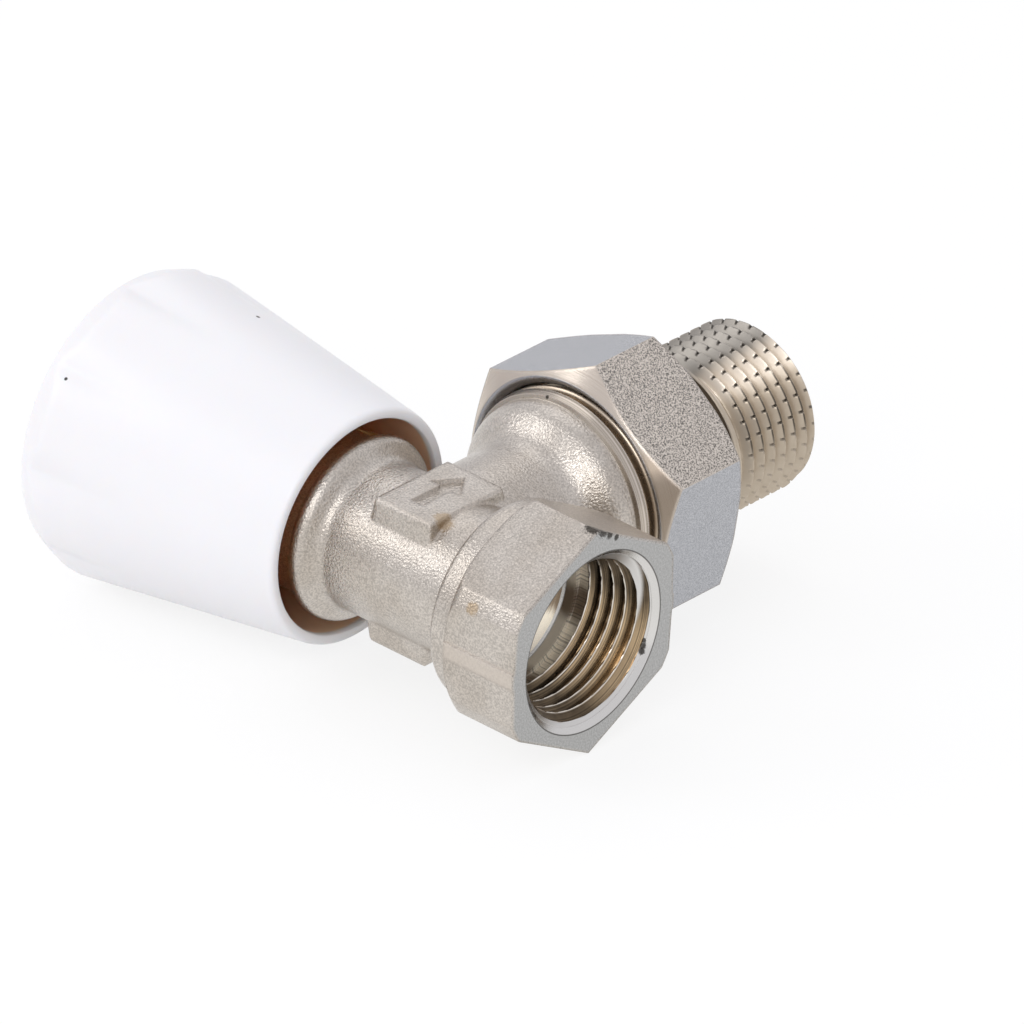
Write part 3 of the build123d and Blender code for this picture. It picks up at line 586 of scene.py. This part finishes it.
# Outline of the inside carried round the stem, then a taper less its valleys, each as deep as the cube
# of the nearness to its middle and fading from the end, with a smooth minimum of that and the end's edge
angle = round_the_ring(360)
inside_outline = np.array(
    [
        (-66.70, 3.56),
        (-56.10, 3.56),
        (-56.10, 6.75),
        (-56.30, 6.95),
        (-68.30, 6.95),
        (-68.70, 7.15),
        (-68.90, 7.60),
        (-68.90, 15.60),
        (-68.70, 16.05),
        (-68.20, 16.24),
        (-50.00, 14.44),
        (-36.60, 13.11),
        (-36.28, 13.11),
        (-36.08, 13.22),
        (-36.00, 13.45),
        (-36.00, 13.95),
        (-36.08, 14.20),
        (-36.28, 14.38),
    ]
)
inner_wall = around_stem(inside_outline[:, :1], inside_outline[:, 1:] + 0 * angle, angle)
station = between(-36.6, END_X + 0.12, 0.45)
cone = WHEEL_MOUTH_R + (MOUTH_X - station) * WHEEL_TAPER
valley_step = TURN / VALLEYS
from_valley = (angle - FIRST_VALLEY + valley_step / 2) % valley_step - valley_step / 2
across = np.sqrt((from_valley / (valley_step / 2)) ** 2 + 0.01)
valley = (np.clip(1 - across, 0, 1) / 0.9) ** 3
fade = np.clip(1 - (station - END_X) / VALLEY_LENGTH, 0, 1) ** 1.3
lobes = cone - VALLEY_DEPTH * fade * valley
edge = EDGE_R + (station - END_X) * EDGE_SLOPE
outer = 0.5 * (lobes + edge - np.sqrt((lobes - edge) ** 2 + 0.1**2))
outer_wall = around_stem(station, outer, angle)
end_outline = np.array([(END_X, 17.60), (END_X, 5.82), (-66.70, 5.82)])
end_wall = around_stem(end_outline[:, :1], end_outline[:, 1:] + 0 * angle, angle)
wheel = np.concatenate([inner_wall, outer_wall, end_wall])
handwheel = skin("handwheel_moulded", wheel, white_plastic, "stem")
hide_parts("handwheel")

# Table: a flat white board that the valve lies on, touched by the wheel's rim, the inlet and the nut.
# It is lit for its shadow, and glows white to the camera and in the metal's reflections.
TOUCH_POINTS = np.array([(-68.0, 0.0, -18.93), (0.0, 0.0, -14.4), (-24.5, 29.0, -17.2)]) * MM
HALF_TABLE = 3.0
GLOW_SHARE = 0.8
along_wheel = TOUCH_POINTS[1] - TOUCH_POINTS[0]
level = np.cross(along_wheel, TOUCH_POINTS[2] - TOUCH_POINTS[0])
level *= np.sign(level[2]) / np.linalg.norm(level)
side_way = along_wheel / np.linalg.norm(along_wheel)
far_way = np.cross(level, side_way)
corners = np.array([(-1, -1), (1, -1), (1, 1), (-1, 1)]) * HALF_TABLE
table_points = TOUCH_POINTS.mean(0) + corners[:, :1] * side_way + corners[:, 1:] * far_way
table_mesh = bpy.data.meshes.new("table")
table_mesh.from_pydata(table_points.tolist(), [], [(0, 1, 2, 3)])
table = bpy.data.objects.new("table", table_mesh)
bpy.context.scene.collection.objects.link(table)
pale_table, shader, place = new_finish("pale_table", Roughness=0.9, Base_Color=(0.94, 0.94, 0.94, 1))
ray = pale_table.node_tree.nodes.new("ShaderNodeLightPath")
kinds = ("Is Camera Ray", "Is Glossy Ray", "Is Transmission Ray")
seen, mirrored, through = (Wire(pale_table.node_tree, ray.outputs[kind]) for kind in kinds)
glow = seen.add("Emission", {"Color": (1, 1, 1, 1), "Strength": 1.02})
lit = Wire(pale_table.node_tree, shader.outputs[0])
mixed = seen.add("MixShader", {0: (seen + mirrored + through) * GLOW_SHARE, 1: lit, 2: glow})
output = pale_table.node_tree.nodes["Material Output"]
pale_table.node_tree.links.new(mixed.socket, output.inputs["Surface"])
table_mesh.materials.append(pale_table)

# Light: a pale room, with three square softboxes on stands around the table.
# The key stands beside the camera, one on the wheel's side, and a weak one behind.
CENTRE = (-0.024, 0.012, 0.0)
ROOM_LIGHT = 0.84
world = bpy.data.worlds.new("studio")
bpy.context.scene.world = world
world.use_nodes = True
room = world.node_tree.nodes["Background"]
room.inputs["Color"].default_value = (0.955, 0.955, 0.995, 1)
ray = world.node_tree.nodes.new("ShaderNodeLightPath")
seen = Wire(world.node_tree, ray.outputs["Is Camera Ray"])
feed(room, Strength=seen * (1 - ROOM_LIGHT) + ROOM_LIGHT)


def softbox(name, stand, size, power):
    """A square area lamp of that size on its stand, which faces the valve."""
    lamp = bpy.data.lights.new(name, "AREA")
    lamp.shape = "RECTANGLE"
    lamp.size, lamp.size_y = size, size
    lamp.energy = power
    holder = bpy.data.objects.new(name, lamp)
    holder.location = stand
    holder.rotation_euler = (Vector(CENTRE) - Vector(stand)).to_track_quat("-Z", "Y").to_euler()
    bpy.context.scene.collection.objects.link(holder)


softbox("key", (0.21, -0.46, 0.39), 0.3, 0.85)
softbox("left", (-0.45, -0.35, 0.36), 0.3, 0.6)
softbox("back", (-0.30, 0.24, 0.52), 0.4, 0.3)

# Camera: a long lens two metres off, beside the inlet and above it.
# It is rolled a little, as the camera that took the photograph was.
TURNED, LIFTED, ROLLED = np.radians(41.29), np.radians(29.68), 0.043
AIM = np.array([-24.515, 13.146, 1.529]) * MM
DISTANCE = 2.0
lens = bpy.data.cameras.new("camera")
lens.sensor_width = 36.0
lens.lens = 620.6
lens.clip_end = 10.0
camera = bpy.data.objects.new("camera", lens)
bpy.context.scene.collection.objects.link(camera)
bpy.context.scene.camera = camera
back = np.array([np.sin(TURNED) * np.cos(LIFTED), -np.cos(TURNED) * np.cos(LIFTED), np.sin(LIFTED)])
right = np.cross((0, 0, 1), back)
right /= np.linalg.norm(right)
up = np.cross(back, right)
rolled_right = np.cos(ROLLED) * right + np.sin(ROLLED) * up
rolled_up = np.cos(ROLLED) * up - np.sin(ROLLED) * right
pose = np.eye(4)
pose[:3, :4] = np.column_stack([rolled_right, rolled_up, back, AIM + DISTANCE * back])
camera.matrix_world = Matrix(pose.tolist())
bpy.context.scene.view_settings.view_transform = "Standard"
